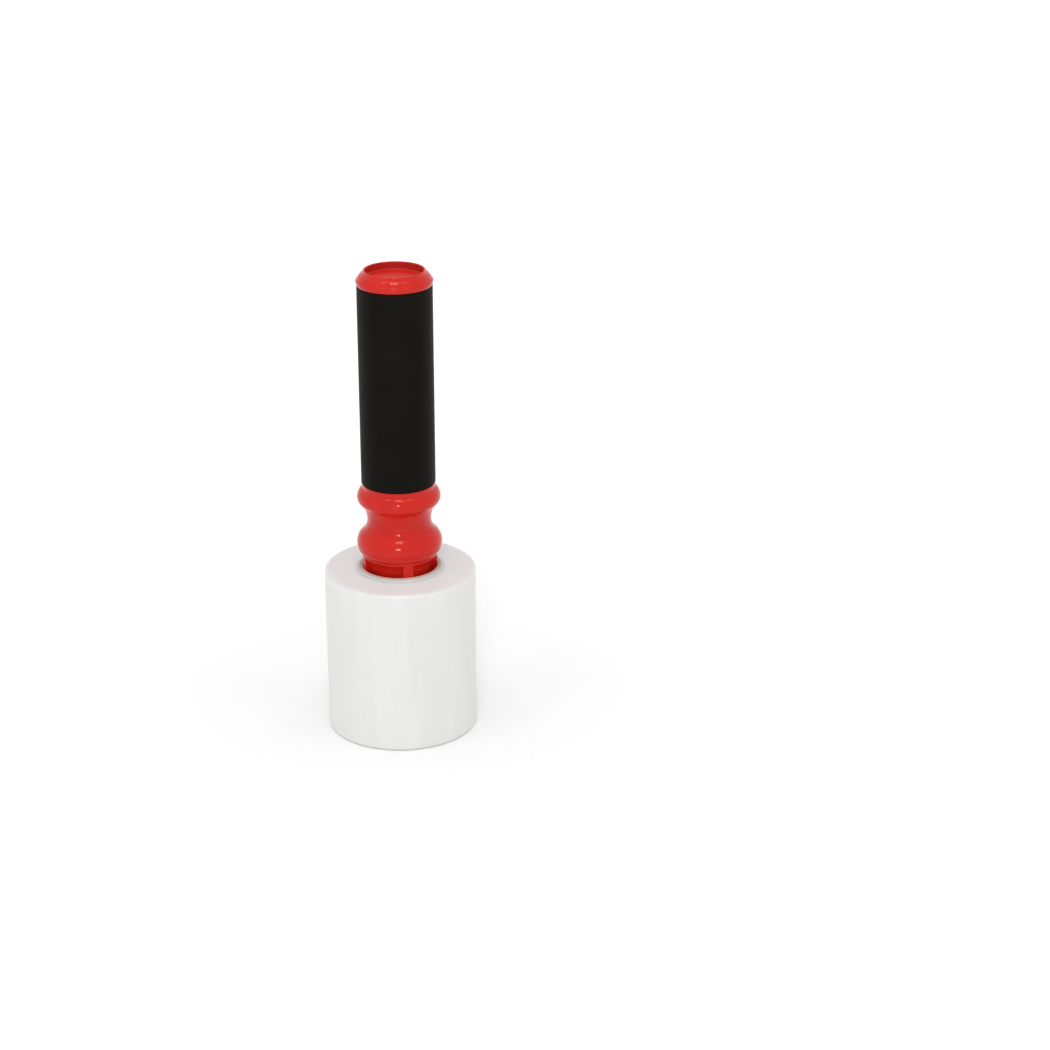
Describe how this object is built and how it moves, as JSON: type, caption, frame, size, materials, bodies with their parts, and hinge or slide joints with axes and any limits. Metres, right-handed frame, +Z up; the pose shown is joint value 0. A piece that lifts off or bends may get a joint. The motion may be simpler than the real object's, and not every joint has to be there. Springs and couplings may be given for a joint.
{
  "type": "stretch wrap roll",
  "caption": "Small roll of clear stretch wrap on a paper core, standing on end, with a red plug-in handle whose black grip sleeve turns freely.",
  "frame": {"origin": "middle of the film's lower end, on the surface that the roll stands on", "axes": "+Z up the roll's and the handle's axis; -Y faces the viewer of the picture"},
  "size_m": [0.0896, 0.0896, 0.2818],
  "materials": {
    "stretch_film": "gloss",
    "kraft_core": "matte",
    "red_plastic": "gloss",
    "black_plastic": "satin"
  },
  "bodies": {
    "roll": {"film_roll": "stretch_film", "paper_core": "kraft_core", "spindle": "red_plastic", "end_cap": "red_plastic"},
    "grip": {"grip_sleeve": "black_plastic"}
  },
  "joints": [
    {"name": "grip_spin", "type": "hinge", "parent": "roll", "child": "grip", "pos_m": [0, 0, 0.2135], "axis": [0, 0, 1], "continuous": true}
  ]
}
